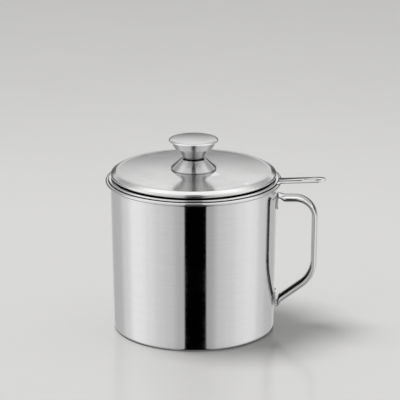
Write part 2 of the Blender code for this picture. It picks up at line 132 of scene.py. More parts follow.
class ContainerStage(bpy.types.PropertyGroup):
    """Floor, background, lamp and camera."""
    floor_colour: colour_setting("Floor", "Colour of the worktop", (0.318, 0.316, 0.31))
    background: colour_setting("Background", "Colour behind the worktop", (0.80, 0.80, 0.785))
    lamp_power: FloatProperty(
        name="Lamp", description="Strength of the soft light from the left", default=4.5, min=0)
    view_pitch: FloatProperty(
        name="View pitch", description="How far the camera looks down", default=math.radians(16.87),
        unit="ROTATION")
    view_distance: length_setting("View distance", "From the camera to the point it looks at", 1.875)
    view_target: FloatVectorProperty(
        name="View target", description="Point at the middle of the picture", subtype="XYZ",
        default=(0.00494, 0, 0.1026), unit="LENGTH")
    view_lens: FloatProperty(name="Lens", description="Focal length in millimetres", default=216)


# Outlines: lists of (across, up) points

def spaced(start, end, steps):
    """Evenly spaced numbers from start to end."""
    return [start + (end - start) * step / steps for step in range(steps + 1)]


def arc(centre, radius, start, end, steps, rise=None):
    """Points along a circle's arc, from start to end in degrees; rise makes it an ellipse's."""
    height = radius if rise is None else rise
    angles = spaced(math.radians(start), math.radians(end), steps)
    return [(centre[0] + radius * math.cos(a), centre[1] + height * math.sin(a)) for a in angles]


def filleted(corners, steps=6):
    """Path through corners (across, up, bend), each rounded with its own bend radius."""
    path = [corners[0][:2]]
    for before, corner, after in zip(corners, corners[1:], corners[2:]):
        here = Vector(corner[:2])
        way_in = (here - Vector(before[:2])).normalized()
        way_out = (Vector(after[:2]) - here).normalized()
        turn = math.atan2(way_in.x * way_out.y - way_in.y * way_out.x, way_in.dot(way_out))
        if not corner[2] or not turn:
            path.append(corner[:2])
            continue
        side = math.copysign(1, turn)
        centre = here - way_in * corner[2] * math.tan(abs(turn) / 2)
        centre += Vector((-way_in.y, way_in.x)) * side * corner[2]
        start = math.atan2(-way_in.x * side, way_in.y * side)
        path += arc(centre, corner[2], math.degrees(start), math.degrees(start + turn), steps)
    return path + [corners[-1][:2]]


def smooth_curve(points, steps):
    """Path on a smooth curve through the points, with steps between neighbours."""
    spots = [Vector(point) for point in points]
    spans = [after - before for before, after in zip(spots, spots[1:])]
    slopes = [spans[0].normalized()]
    for near, far in zip(spans, spans[1:]):
        slopes.append((near.normalized() * far.length + far.normalized() * near.length)
                      / (near.length + far.length))
    slopes.append(spans[-1].normalized())
    path = [tuple(spots[0])]
    for spot, span, slope, next_slope in zip(spots, spans, slopes, slopes[1:]):
        for t in spaced(0, 1, steps)[1:]:
            bow = slope * (1 - t) - next_slope * t
            path.append(tuple(spot + span * smooth_step(t) + bow * span.length * t * (1 - t)))
    return path


def smooth_step(share):
    """Ease from 0 to 1."""
    share = min(max(share, 0), 1)
    return share * share * (3 - 2 * share)


def right_normal(a, b):
    """Unit normal on the right-hand side of the way from a to b."""
    way = (Vector(b) - Vector(a)).normalized()
    return Vector((way.y, -way.x))


def offset(path, distance):
    """The path moved to its right-hand side by the same distance all along."""
    moved = []
    last = len(path) - 1
    for index, point in enumerate(path):
        before = right_normal(path[max(index - 1, 0)], path[max(index, 1)])
        after = right_normal(path[min(index, last - 1)], path[min(index + 1, last)])
        middle = (before + after).normalized()
        moved.append(tuple(Vector(point) + middle * distance / middle.dot(before)))
    return moved


def round_end(start, end, steps=4):
    """Half circle that joins one face of a sheet to the other."""
    start, end = Vector(start), Vector(end)
    middle = (start + end) / 2
    spoke = start - middle
    outward = Vector((-(end - start).y, (end - start).x)).normalized() * spoke.length
    return [tuple(middle + spoke * math.cos(a) + outward * math.sin(a))
            for a in spaced(0, math.pi, steps)[1:-1]]


def sheet_outline(path, thickness):
    """Closed outline of sheet metal on the path's right-hand side, or left where thickness is negative."""
    other = offset(path, thickness)

    def sheet_end(a, b):
        return round_end(a, b) if thickness > 0 else round_end(b, a)[::-1]

    outline = path + sheet_end(path[-1], other[-1]) + other[::-1]
    if path[0][0] > WELD:
        outline += sheet_end(other[0], path[0])
    return outline


# Meshes and objects

def turned(outline, steps):
    """Mesh of an outline of (radius, height) points turned once about the pot's axis."""
    mesh_data = bmesh.new()
    verts = [mesh_data.verts.new((radius, 0, height)) for radius, height in outline]
    edges = [mesh_data.edges.new(pair) for pair in zip(verts, verts[1:])]
    if outline[0][0] > WELD:
        edges.append(mesh_data.edges.new((verts[-1], verts[0])))
    bmesh.ops.spin(mesh_data, geom=verts + edges, cent=(0, 0, 0), axis=(0, 0, 1),
                   angle=math.tau, steps=steps, use_merge=True)
    bmesh.ops.remove_doubles(mesh_data, verts=mesh_data.verts, dist=WELD)
    return mesh_data


def swept(rings, hidden=frozenset(), into=None):
    """Closed mesh through rings of as many points each, joined into another mesh where one is given.

    Faces that start at a hidden (ring, point) take the piece's second material.
    """
    mesh_data = into or bmesh.new()
    loops = [[mesh_data.verts.new(spot) for spot in ring] for ring in rings]
    for row, (near, far) in enumerate(zip(loops, loops[1:])):
        for index, vert in enumerate(near):
            following = (index + 1) % len(near)
            face = mesh_data.faces.new((vert, near[following], far[following], far[index]))
            face.material_index = int((row, index) in hidden)
    mesh_data.faces.new(loops[0])
    mesh_data.faces.new(loops[-1])
    return mesh_data


def add_object(name, data):
    """New object in the scene."""
    thing = bpy.data.objects.new(name, data)
    bpy.context.collection.objects.link(thing)
    return thing


def add_mesh(name, mesh_data):
    """New object in the scene with a finished mesh."""
    mesh = bpy.data.meshes.new(name)
    mesh_data.to_mesh(mesh)
    mesh_data.free()
    return add_object(name, mesh)


def place_piece(name, mesh_data, materials, body, slot, *nodes):
    """Put a closed mesh in the scene as a piece that stands for CAD nodes and rides on their body."""
    bmesh.ops.recalc_face_normals(mesh_data, faces=mesh_data.faces)
    piece = add_mesh(name, mesh_data)
    piece.data.shade_smooth()
    piece.data.set_sharp_from_angle(angle=SMOOTH_ANGLE)
    for material in materials:
        piece.data.materials.append(material)
    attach(piece, body)
    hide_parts(*nodes)


# Shader nodes

def feed(tree, socket, value):
    """Link a socket to another one's output, or set it to a plain value."""
    if isinstance(value, bpy.types.NodeSocket):
        tree.links.new(value, socket)
    else:
        socket.default_value = value


def add_node(tree, kind, *values, **settings):
    """Outputs of a new shader node with the given settings and first inputs."""
    node = tree.nodes.new("ShaderNode" + kind)
    for name, value in settings.items():
        setattr(node, name, value)
    for socket, value in zip(node.inputs, values):
        feed(tree, socket, value)
    return node.outputs


def maths(tree, operation, *values):
    """Result of one Math node."""
    return add_node(tree, "Math", *values, operation=operation)[0]


def product(tree, result, *factors):
    """All the values multiplied together."""
    for factor in factors:
        result = maths(tree, "MULTIPLY", result, factor)
    return result


def total(tree, result, *others):
    """All the values added up."""
    for other in others:
        result = maths(tree, "ADD", result, other)
    return result


def remap(tree, value, low, high, to_low=0.0, to_high=1.0, smooth=True):
    """Value carried from the range low to high into another one, and kept inside it."""
    return add_node(tree, "MapRange", value, low, high, to_low, to_high,
                    interpolation_type="SMOOTHSTEP" if smooth else "LINEAR")["Result"]


def ramp(tree, value, stops):
    """Level read from (degrees, level) stops, at a value that is 0 at the first stop and 1 at the last."""
    node = tree.nodes.new("ShaderNodeValToRGB")
    elements = node.color_ramp.elements
    node.color_ramp.interpolation = "EASE"
    while len(elements) > 1:
        elements.remove(elements[-1])
    first, last = stops[0][0], stops[-1][0]
    highest = max(level for _, level in stops)
    for index, (degrees, level) in enumerate(stops):
        place = (degrees - first) / (last - first)
        element = elements[0] if index == 0 else elements.new(place)
        element.position = place
        element.color = (level / highest,) * 3 + (1,)
    feed(tree, node.inputs[0], value)
    return product(tree, node.outputs[0], highest)


def combine(tree, x, y, z):
    """Vector made of three values."""
    return add_node(tree, "CombineXYZ", x, y, z)[0]


def object_axes(tree):
    """The x, y and z of a point in its piece's own space."""
    return add_node(tree, "SeparateXYZ", add_node(tree, "TexCoord")["Object"])


def noise(tree, vector, detail, roughness, scale=1.0, depth=None):
    """Noise value at a vector, with a fourth coordinate where depth is given."""
    dimensions, fourth = ("3D", 0.0) if depth is None else ("4D", depth)
    return add_node(tree, "TexNoise", vector, fourth, scale, detail, roughness,
                    noise_dimensions=dimensions)[0]


def tinted(tree, tone, shade):
    """Colour: the tone times a value that changes over the surface."""
    return add_node(tree, "VectorMath", tone, shade, operation="MULTIPLY")[0]


def new_material(name):
    """New material, its node tree and its main shader."""
    material = bpy.data.materials.new(name)
    material.use_nodes = True
    return material, material.node_tree, material.node_tree.nodes["Principled BSDF"]


# Shared shader effects

# How bent a flat surface is, as the geometry node gives it
FLAT = 0.5
# Noise values that give nothing and the whole, for lines and mottle, film and smears
LINE_RANGE = (0.3, 0.7)
FILM_RANGE = (0.42, 0.66)
SMEAR_RANGE = (0.52, 0.74)
# Open shares of the view from a surface: shut in, and free
SHUT_IN_RANGE = (0.15, 0.7)


def new_group(name, inputs, outputs):
    """Empty node group with named float inputs and outputs, and its two end nodes."""
    tree = bpy.data.node_groups.new(name, "ShaderNodeTree")
    for label, value in inputs:
        tree.interface.new_socket(label, in_out="INPUT", socket_type="NodeSocketFloat").default_value = value
    for label in outputs:
        tree.interface.new_socket(label, in_out="OUTPUT", socket_type="NodeSocketFloat")
    return tree, tree.nodes.new("NodeGroupInput").outputs, tree.nodes.new("NodeGroupOutput").inputs


def build_turned_lines():
    """Group: polishing lines that run round the pot's axis, broken up a little on the way round."""
    tree, given, result = new_group("Turned Lines", [("Density", 900), ("Breaks", 5)], ["Lines"])
    x, y, z = object_axes(tree)
    radius = maths(tree, "SQRT", total(tree, product(tree, x, x), product(tree, y, y)))
    radius = maths(tree, "MAXIMUM", radius, WELD)
    turn = [product(tree, maths(tree, "DIVIDE", side, radius), given["Breaks"]) for side in (x, y)]
    spot = combine(tree, *turn, product(tree, z, given["Density"]))
    lines = noise(tree, spot, detail=3, roughness=0.62, depth=product(tree, radius, given["Density"]))
    feed(tree, result["Lines"], remap(tree, lines, *LINE_RANGE, smooth=False))
    return tree


def build_drawn_lines():
    """Group: polishing lines that run along a strap or tab, across which y counts."""
    tree, given, result = new_group("Drawn Lines", [("Density", 900), ("Breaks", 30)], ["Lines"])
    x, y, z = object_axes(tree)
    spot = combine(tree, product(tree, x, given["Breaks"]), product(tree, y, given["Density"]),
                   product(tree, z, given["Breaks"]))
    lines = noise(tree, spot, detail=3, roughness=0.6)
    feed(tree, result["Lines"], remap(tree, lines, *LINE_RANGE, smooth=False))
    return tree


def build_handling_marks():
    """Group: soft, patchy film that hands and a cloth leave on polished steel."""
    tree, given, result = new_group("Handling Marks", [("Size", 28)], ["Film", "Smears"])
    x, y, z = object_axes(tree)
    broad = noise(tree, combine(tree, x, y, z), detail=2, roughness=0.5, scale=given["Size"])
    feed(tree, result["Film"], remap(tree, broad, *FILM_RANGE))
    stretched = combine(tree, x, product(tree, y, 1.6), product(tree, z, 2.6))
    fine = noise(tree, stretched, detail=5, roughness=0.66, scale=product(tree, given["Size"], 5))
    feed(tree, result["Smears"], remap(tree, fine, *SMEAR_RANGE))
    return tree


def build_edge_wear_and_hollow_shade():
    """Group: edges that are rubbed bright, and painted shade that darkens the hollows of the surface."""
    tree, given, result = new_group("Edge Wear And Hollow Shade", [("Spread", 0.06)], ["Edges", "Hollow Shade"])
    bend = add_node(tree, "NewGeometry")["Pointiness"]
    sharp = total(tree, FLAT, given["Spread"])
    hollow = maths(tree, "SUBTRACT", FLAT, given["Spread"])
    feed(tree, result["Edges"], remap(tree, bend, FLAT, sharp))
    feed(tree, result["Hollow Shade"], remap(tree, bend, hollow, FLAT, 1.0, 0.0))
    return tree


def build_deep_shade():
    """Group: painted shade, 1 where a surface is shut in by others close by, as in the gap under the lid's
    edge.
    """
    tree, given, result = new_group("Deep Painted Shade", [("Reach", 2 * MM)], ["Hollow Shade"])
    shut_in = add_node(tree, "AmbientOcclusion", (1, 1, 1, 1), given["Reach"], samples=8)["AO"]
    feed(tree, result["Hollow Shade"], remap(tree, shut_in, *SHUT_IN_RANGE, 1.0, 0.0))
    return tree


GROUP_BUILDERS = {
    "Turned Lines": build_turned_lines,
    "Drawn Lines": build_drawn_lines,
    "Handling Marks": build_handling_marks,
    "Edge Wear And Hollow Shade": build_edge_wear_and_hollow_shade,
    "Deep Painted Shade": build_deep_shade,
}


def use_group(tree, name, **values):
    """Outputs of a shared group placed in a material, built the first time it is asked for."""
    node = tree.nodes.new("ShaderNodeGroup")
    node.node_tree = bpy.data.node_groups.get(name) or GROUP_BUILDERS[name]()
    for label, value in values.items():
        node.inputs[label].default_value = value
    return node.outputs


# Steels

# Painted shade: share by which the base colour darkens in the surface's hollows
HOLLOW_PAINTED_SHADE = 0.12
# Painted shade: share by which the base colour darkens where other pieces shut a surface in
DEEP_PAINTED_SHADE = 0.82
EDGE_SHINE = 0.04
EDGE_POLISH_SHARE = 0.3
BUMP_SHARE = 0.5
# Turns the stretched highlights across the lines
GRAIN_TURN_SHARE = 0.25
# How much rougher than the other polished pieces
KNOB_DULLNESS = 0.12
CAP_DULLNESS = 0.1


def finish():
    """Settings of the steels."""
    return bpy.context.scene.container_finish


def steel(name, tone, roughness, lines="Turned Lines", fineness=1.0, breaks=4, line_tone=0.03,
          line_gloss=0.05, line_depth=0.004, film=0.03, smear=0.03, anisotropy=0.0, reach=2,
          metallic=1.0):
    """Metal with polishing lines, a film of handling, brighter edges and painted shade in hollows and gaps;
    depth and reach in millimetres.
    """
    found = bpy.data.materials.get(name)
    if found:
        return found
    material, tree, shader = new_material(name)
    shader.inputs["Metallic"].default_value = metallic
    shader.inputs["Anisotropic"].default_value = anisotropy
    shader.inputs["Anisotropic Rotation"].default_value = GRAIN_TURN_SHARE
    grain = use_group(tree, lines, Density=finish().line_density * fineness, Breaks=breaks)["Lines"]
    marks = use_group(tree, "Handling Marks")
    wear_and_shade = use_group(tree, "Edge Wear And Hollow Shade")
    deep_shade = use_group(tree, "Deep Painted Shade", Reach=reach * MM)["Hollow Shade"]
    # Base colour: polishing lines, darkened by painted shade in hollows and shut-in gaps, and brightened on
    # rubbed edges
    shade = total(tree, product(tree, grain, line_tone), 1 - line_tone / 2,
                  product(tree, wear_and_shade["Hollow Shade"], -HOLLOW_PAINTED_SHADE))
    shade = product(tree, shade, total(tree, product(tree, deep_shade, -DEEP_PAINTED_SHADE), 1.0))
    shade = total(tree, shade, product(tree, wear_and_shade["Edges"], EDGE_SHINE))
    feed(tree, shader.inputs["Base Color"], tinted(tree, tone, shade))
    gloss = total(tree, product(tree, grain, line_gloss), roughness - line_gloss / 2,
                  product(tree, marks["Film"], film), product(tree, marks["Smears"], smear),
                  product(tree, wear_and_shade["Edges"], -roughness * EDGE_POLISH_SHARE))
    feed(tree, shader.inputs["Roughness"], gloss)
    bump = tree.nodes.new("ShaderNodeBump")
    for label, value in (("Strength", BUMP_SHARE), ("Distance", line_depth * MM), ("Height", grain)):
        feed(tree, bump.inputs[label], value)
    feed(tree, shader.inputs["Normal"], bump.outputs[0])
    if anisotropy:
        tangent = add_node(tree, "Tangent", direction_type="RADIAL", axis="Z")[0]
        feed(tree, shader.inputs["Tangent"], tangent)
    return material


def satin_wall_steel():
    """The pot: fine lines drawn round it over a near polish."""
    return steel("pot_wall_satin", finish().satin_tone, finish().satin_roughness, line_tone=0.05,
                 line_gloss=0.06, anisotropy=0.5)


def satin_inside_steel():
    """The pot's inside, brushed dull, so that light from the mouth spreads down it."""
    return steel("pot_inside_satin", finish().satin_tone, roughness=0.48, line_tone=0.06,
                 line_gloss=0.1, metallic=0.7)


def satin_foot_steel():
    """The pot's flat underside, scuffed by worktops."""
    return steel("pot_foot_satin", finish().satin_tone, roughness=0.3, line_tone=0.08,
                 line_gloss=0.1, smear=0.12, reach=0.03)


def lid_steel():
    """The lid, pressed and polished."""
    return steel("lid_polish", finish().polished_tone, finish().lid_roughness, fineness=0.7, breaks=3,
                 line_tone=0.02, line_gloss=0.03, line_depth=0.002)


def knob_steel():
    """The knob's cone and stem, turned and left greyer than the cap."""
    # Painted shade from nearby pieces reaches 9 mm here, darkening the cone and stem under the cap
    return steel("knob_turned", finish().knob_tone, finish().polished_roughness + KNOB_DULLNESS,
                 fineness=1.6, breaks=3, line_tone=0.12, line_depth=0.006, anisotropy=0.95, reach=9)


def cap_steel():
    """The knob's cap, buffed."""
    return steel("knob_cap_buffed", finish().polished_tone, finish().polished_roughness + CAP_DULLNESS,
                 fineness=1.6, breaks=3, line_tone=0.05)


def rim_steel():
    """The strainer's ring and its clamp."""
    return steel("rim_polish", finish().polished_tone, finish().polished_roughness, line_tone=0.02,
                 line_gloss=0.03)


def strap_steel():
    """The handle's strap and the tab, polished along their length."""
    return steel("strap_polish", finish().polished_tone, finish().polished_roughness,
                 lines="Drawn Lines", fineness=1.3, breaks=30)


def strap_inside_steel():
    """The hollow side of the strap: rougher as it left the press, and nearly black as painted shade inside
    the channel.
    """
    return steel("strap_inside_painted_shade", finish().inside_shade_tone, roughness=0.25, lines="Drawn Lines",
                 breaks=30, line_tone=0.1, line_gloss=0.1)


def wire_steel():
    """Drawn wire and plain fasteners."""
    return steel("plain_drawn", finish().plain_tone, roughness=0.3, fineness=2, breaks=6,
                 line_tone=0.1, line_gloss=0.1, film=0.06, smear=0.08)


# Pot

POT_BEND = 2.2 * MM
WALL_START = 8 * MM
WALL_STOP = 4 * MM
# In sheet thicknesses: how deep a face lies to count as inside, and how low as underneath
INSIDE_SHARE = 0.6
UNDERSIDE_SHARE = 0.1


def wall_radius(height):
    """Outside radius of the pot's tapered wall."""
    sizes = bpy.context.scene.container_sizes
    return sizes.foot_radius + (sizes.rim_radius - sizes.foot_radius) * height / POT_HIGH.z


class CONTAINER_OT_pot(bpy.types.Operator):
    """Spin the pot: flat floor, tapered wall and a rim that flares and rolls under"""
    bl_idname = "container.pot"
    bl_label = "Pot"

    def execute(self, context):
        sizes = context.scene.container_sizes
        wall, roll = sizes.sheet, sizes.roll_radius
        bend = POT_BEND - wall
        roll_x = sizes.rim_radius + sizes.roll_reach
        flare_base = POT_HIGH.z - 2 * roll
        path = [(0, wall), (wall_radius(0) / 2, wall)]
        path += arc((wall_radius(bend) - bend - wall, bend + wall), bend, -90, 0, 10)
        path += [(wall_radius(height) - wall, height)
                 for height in spaced(WALL_START, flare_base - WALL_STOP, 12)]
        path += arc((roll_x, flare_base), roll_x - wall_radius(flare_base) + wall, 180, 90, 12, rise=2 * roll)
        path += arc((roll_x, POT_HIGH.z - roll), roll, 90, -135, 22)[1:]
        mesh_data = turned(sheet_outline(path, wall), sizes.turn_steps)
        skin = INSIDE_SHARE * wall
        for face in mesh_data.faces:
            middle = face.calc_center_median()
            if middle.z < UNDERSIDE_SHARE * wall:
                face.material_index = 2
            elif skin < middle.z < flare_base and wall_radius(middle.z) - middle.xy.length > skin:
                face.material_index = 1
        place_piece("pot_body", mesh_data, [satin_wall_steel(), satin_inside_steel(), satin_foot_steel()],
                    "pot", "satin_steel", "pot_shell")
        return {"FINISHED"}


# Strap handle

STRAP_LEAN = math.radians(0.6)
STRAP_SLANT = math.radians(36)
STRAP_KNEE = 39.6 * MM
STRAP_TOP_BEND = 17.6 * MM
STRAP_KNEE_BEND = 26 * MM
STRAP_CURL = math.radians(32)
STRAP_FOLD = 1.7 * MM
STRAP_FLARE = 5 * MM
STRAP_STEP = 0.8 * MM
# How far the channel has opened where its hollow side takes the dark tone of painted shade
INSIDE_SHADE_SHARE = 0.3
UPPER_PAD = 9 * MM
LOWER_PAD = 10 * MM
PAD_SQUARENESS = 0.6
PAD_CORNER = 3.2 * MM
PAD_END_SHARE = 0.98
# Along a pad and its fold: where it starts to leave the wall's curve, and how soon it has left it
WRAP_START_SHARE = 0.6
WRAP_FADE_SHARE = 0.5
WELD_PLACE_SHARE = 0.48
WELD_DENT = 0.28 * MM
WELD_RADIUS = 1.5 * MM
WELD_SPREAD = 3.4 * MM


def strap_corners():
    """Corners (x, z, bend) of the strap's outer face, from its upper pad round to its lower pad."""
    top, reach = STRAP_HIGH.z, STRAP_HIGH.x
    knee_x = reach - (top - STRAP_KNEE) * math.tan(STRAP_LEAN)
    foot = STRAP_KNEE - (knee_x - wall_radius(0)) * math.tan(STRAP_SLANT)
    upper_end = top - STRAP_FOLD - UPPER_PAD
    lower_end = foot + STRAP_FOLD * math.tan((math.pi / 2 + STRAP_SLANT) / 2) + LOWER_PAD

    def by_wall(height, bend=0):
        return wall_radius(height) + CLEARANCE, height, bend

    return [by_wall(upper_end), by_wall(top, STRAP_FOLD), (reach, top, STRAP_TOP_BEND),
            (knee_x, STRAP_KNEE, STRAP_KNEE_BEND), by_wall(foot, STRAP_FOLD), by_wall(lower_end)]


def even_places(path, gap):
    """Places (point, outward normal, distance from the start) at about even gaps along a path."""
    spots = [Vector(point) for point in path]
    lengths = [0]
    for before, after in zip(spots, spots[1:]):
        lengths.append(lengths[-1] + (after - before).length)
    distances = spaced(0, lengths[-1], round(lengths[-1] / gap))
    points = []
    index = 0
    for distance in distances:
        while index < len(spots) - 2 and lengths[index + 1] < distance:
            index += 1
        share = (distance - lengths[index]) / (lengths[index + 1] - lengths[index])
        points.append(spots[index].lerp(spots[index + 1], share))
    ways = [(far - near).normalized() for near, far in zip(points[:1] + points, points[1:] + points[-1:])]
    return [(point, Vector((-way.y, way.x)), distance)
            for point, way, distance in zip(points, ways, distances)]


def channel_section(depth, half, sheet, squareness, curl):
    """Section of the strap: (across, outward, is inner) points of a crowned sheet with curled-in lips."""
    rise = (depth - sheet / 2) / (1 + math.sin(curl))
    angles = [-curl + (math.pi / 2 + curl) * (1 - math.cos(t)) for t in spaced(0, math.pi, 44)]

    def face(angle, across, up):
        powers = [math.copysign(abs(wave) ** squareness, wave) for wave in (math.cos(angle), math.sin(angle))]
        return across * powers[0], up * powers[1] - rise

    outer = [face(angle, half, rise) for angle in angles]
    inner = [face(angle, half - sheet, rise - sheet) for angle in angles[::-1]]
    left = round_end(inner[0], outer[-1], 8)[::-1]
    right = round_end(outer[0], inner[-1], 8)[::-1]
    parts = ((0, outer + left), (1, inner), (0, right))
    return [(*point, is_inner) for is_inner, points in parts for point in points]


def weld_dent(across, height, pad_middle):
    """How deep the two spot welds press a pad's face at a point."""
    away = [math.hypot(across - side * WELD_SPREAD, height - pad_middle) for side in (-1, 1)]
    return sum(WELD_DENT * math.exp(-(distance / WELD_RADIUS) ** 4) for distance in away)


class CONTAINER_OT_strap(bpy.types.Operator):
    """Form the strap: one strip, crowned along its middle, its ends flattened, folded and spot welded"""
    bl_idname = "container.strap"
    bl_label = "Strap Handle"

    def execute(self, context):
        sizes = context.scene.container_sizes
        places = even_places(filleted(strap_corners(), 24), STRAP_STEP)
        whole = places[-1][2]
        rings, hidden = [], set()
        for spot, out, distance in places:
            near_upper = distance < whole / 2
            from_end = distance if near_upper else whole - distance
            pad, fold = (UPPER_PAD, math.pi / 2) if near_upper else (LOWER_PAD, math.pi / 2 + STRAP_SLANT)
            pad_run = pad + STRAP_FOLD * fold
            flare = smooth_step((from_end - pad_run) / STRAP_FLARE)
            depth = sizes.strap_sheet + (sizes.strap_depth - sizes.strap_sheet) * flare
            wrap = 1 - smooth_step((from_end / pad_run - WRAP_START_SHARE) / WRAP_FADE_SHARE)
            corner = min(max(0, 1 - from_end / PAD_CORNER), PAD_END_SHARE)
            half = sizes.strap_width / 2 - PAD_CORNER * (1 - math.sqrt(1 - corner ** 2))
            section = channel_section(depth, half, sizes.strap_sheet, 1 - PAD_SQUARENESS * (1 - flare),
                                      STRAP_CURL * flare)
            ring = []
            for index, (across, outward, inner) in enumerate(section):
                # Inner faces of the opened channel take the strap's second material, its painted shade
                if inner and flare > INSIDE_SHADE_SHARE:
                    hidden.add((len(rings), index))
                if inner and from_end < pad_run:
                    outward += weld_dent(across, from_end, pad * WELD_PLACE_SHARE)
                outward += wrap * across * across / (2 * sizes.rim_radius)
                place = spot + out * outward
                ring.append((place.x, across, place.y))
            rings.append(ring)
        place_piece("strap_handle", swept(rings, hidden), [strap_steel(), strap_inside_steel()], "pot",
                    "polished_steel", "handle_strip")
        return {"FINISHED"}


# Strainer

HEM_HEIGHT = 1.5 * MM
HEM_WIDTH = 1.9 * MM
LEDGE = 3.4 * MM
SIDE_GAP = 3.4 * MM
BOWL_TAPER = 0.8 * MM
BOWL_BEND = 1.6 * MM
CLAMP_WIDTH = 3 * MM
CLAMP_EDGE = 0.3 * MM


def ring_outline(inner, outer, low, high, edge, steps):
    """Section of a flat ring with rounded edges; it starts and ends near the middle of its underside."""
    middle = (inner + outer) / 2
    return filleted([(middle, low, 0), (outer, low, edge), (outer, high, edge), (inner, high, edge),
                     (inner, low, edge), (middle - edge / 3, low, 0)], steps)


class CONTAINER_OT_strainer_ring(bpy.types.Operator):
    """Spin the strainer's ring: a flange that lies on the rim, a straight wall and a ledge for the cloth"""
    bl_idname = "container.strainer_ring"
    bl_label = "Strainer Ring"

    def execute(self, context):
        sizes = context.scene.container_sizes
        wall = sizes.sheet
        bowl = sizes.rim_radius - wall - SIDE_GAP
        foot = bowl - BOWL_TAPER
        top, ledge_top = RIM_HIGH.z, RIM_LOW.z + wall
        hem = HEM_HEIGHT / 2
        path = [(RIM_HIGH.x - HEM_WIDTH, top - HEM_HEIGHT)]
        path += arc((RIM_HIGH.x - hem, top - hem), hem, -90, 90, 12)
        path += filleted([(RIM_HIGH.x - hem, top, 0), (bowl, top, BOWL_BEND), (foot, ledge_top, BOWL_BEND),
                          (foot - BOWL_BEND - LEDGE, ledge_top, 0)], 12)[1:]
        place_piece("strainer_ring", turned(sheet_outline(path, -wall), sizes.turn_steps), [rim_steel()],
                    "strainer", "polished_steel", "strainer_rim")
        outer = CLAMP_HIGH.x
        clamp = ring_outline(outer - CLAMP_WIDTH, outer, CLAMP_LOW.z, CLAMP_HIGH.z, CLAMP_EDGE, 4)
        place_piece("cloth_clamp", turned(clamp, sizes.turn_steps), [rim_steel()], "strainer",
                    "polished_steel", "mesh_clamp_ring")
        return {"FINISHED"}


# How far a wire's middle swings, in its radius
WEAVE_SHARE = 0.9


class CONTAINER_OT_cloth(bpy.types.Operator):
    """Weave the strainer's cloth: two sets of fine wires that pass over and under each other"""
    bl_idname = "container.cloth"
    bl_label = "Strainer Cloth"

    def execute(self, context):
        sizes = context.scene.container_sizes
        pitch, radius = sizes.wire_pitch, sizes.wire_radius
        middle = (CLOTH_LOW.z + CLOTH_HIGH.z) / 2
        reach = CLOTH_HIGH.x
        rows = int((reach - radius) / pitch)
        mesh_data = bmesh.new()
        for set_index in (0, 1):
            for row in range(-rows, rows + 1):
                half = math.sqrt(reach ** 2 - (row * pitch) ** 2)
                crossings = range(-int(half / pitch), int(half / pitch) + 1)
                swings = [(step * pitch, (-1) ** (step + row + set_index)) for step in crossings]
                rings = []
                for along, wave in [(-half, 0), *swings, (half, 0)]:
                    section = arc((row * pitch, middle + radius * WEAVE_SHARE * wave), radius, 0, 288, 4)
                    rings.append([(across, along, up) if set_index else (along, across, up)
                                  for across, up in section])
                swept(rings, into=mesh_data)
        place_piece("strainer_cloth", mesh_data, [wire_steel()], "strainer", "plain_steel", "strainer_mesh")
        return {"FINISHED"}


TAB_AZIMUTH = math.radians(-8)
TAB_RISE = math.radians(4)
TAB_WIDTH = 14 * MM
TAB_LENGTH = 36.5 * MM
TAB_THICKNESS = 0.8 * MM
TAB_SLOT_LENGTH = 12.6 * MM
TAB_SLOT_WIDTH = 6 * MM
TAB_SLOT_INSET = 6.8 * MM
TAB_EDGE = 0.3 * MM
TAB_ROOT_FLARE = 2.4 * MM
PLATE_WELD = MM / 1000


def flat_plate(outlines, thickness, edge):
    """Mesh of a flat plate with holes and rounded edges, its underside at height zero."""
    curve = bpy.data.curves.new("plate", "CURVE")
    curve.dimensions = "2D"
    curve.fill_mode = "BOTH"
    curve.extrude = thickness / 2 - edge
    curve.bevel_depth = edge
    curve.bevel_resolution = 3
    curve.offset = -edge
    for outline in outlines:
        spline = curve.splines.new("POLY")
        spline.points.add(len(outline) - 1)
        for point, (x, y) in zip(spline.points, outline):
            point.co = (x, y, 0, 1)
        spline.use_cyclic_u = True
    holder = add_object("plate", curve)
    mesh = bpy.data.meshes.new_from_object(holder.evaluated_get(bpy.context.evaluated_depsgraph_get()))
    bpy.data.objects.remove(holder)
    mesh_data = bmesh.new()
    mesh_data.from_mesh(mesh)
    bpy.data.meshes.remove(mesh)
    bmesh.ops.remove_doubles(mesh_data, verts=mesh_data.verts, dist=PLATE_WELD)
    bmesh.ops.translate(mesh_data, verts=mesh_data.verts, vec=(0, 0, thickness / 2))
    return mesh_data


def tab_outlines(root):
    """Outlines of the tab and of its slot, from the root that follows the flange's edge to the round tip."""
    half = TAB_WIDTH / 2
    flared = half + TAB_ROOT_FLARE
    spread = math.degrees(math.asin(flared / root))
    outline = arc((-root, 0), root, spread, -spread, 24)
    flare = arc((outline[-1][0] + 2 * TAB_ROOT_FLARE, -flared), 2 * TAB_ROOT_FLARE, 180, 90, 8,
                rise=TAB_ROOT_FLARE)[1:]
    outline += flare + arc((TAB_LENGTH - half, 0), half, -90, 90, 36) + [(x, -y) for x, y in flare[::-1]]
    radius = TAB_SLOT_WIDTH / 2
    far = TAB_LENGTH - TAB_SLOT_INSET - radius
    near = far - TAB_SLOT_LENGTH + TAB_SLOT_WIDTH
    slot = arc((far, 0), radius, -90, 90, 20) + arc((near, 0), radius, 90, 270, 20)
    return [outline, slot]


